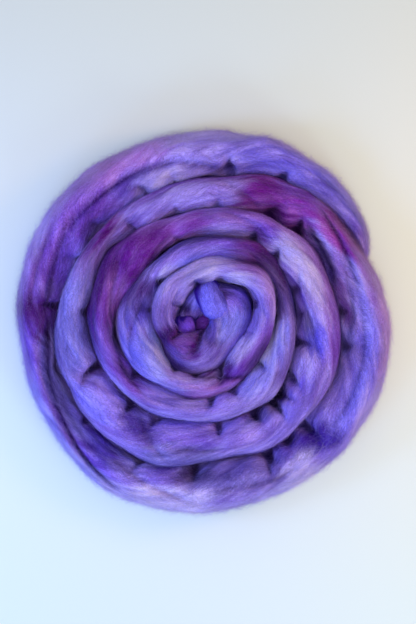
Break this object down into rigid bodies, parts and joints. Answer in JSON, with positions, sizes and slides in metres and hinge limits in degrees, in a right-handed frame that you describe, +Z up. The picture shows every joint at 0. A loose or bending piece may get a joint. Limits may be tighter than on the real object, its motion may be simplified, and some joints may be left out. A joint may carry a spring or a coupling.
{
  "type": "wool roving coil",
  "caption": "Long soft strand of hand-dyed carded wool wound flat into a round spiral coil, for spinning, felting or arm knitting.",
  "frame": {"origin": "on the surface the coil rests on, under the middle of the coil's outline", "axes": "+Z is up, the axis the strand is wound about; +X is to the right and +Y away, with the strand's outer end on the +X side; the winding runs inward counter-clockwise seen from above"},
  "size_m": [0.2392, 0.2442, 0.0427],
  "materials": {
    "dyed_wool": "soft matte carded wool, dyed in blended violets, blues and magentas"
  },
  "bodies": {
    "root": {"roving_coil": "dyed_wool"}
  },
  "joints": []
}
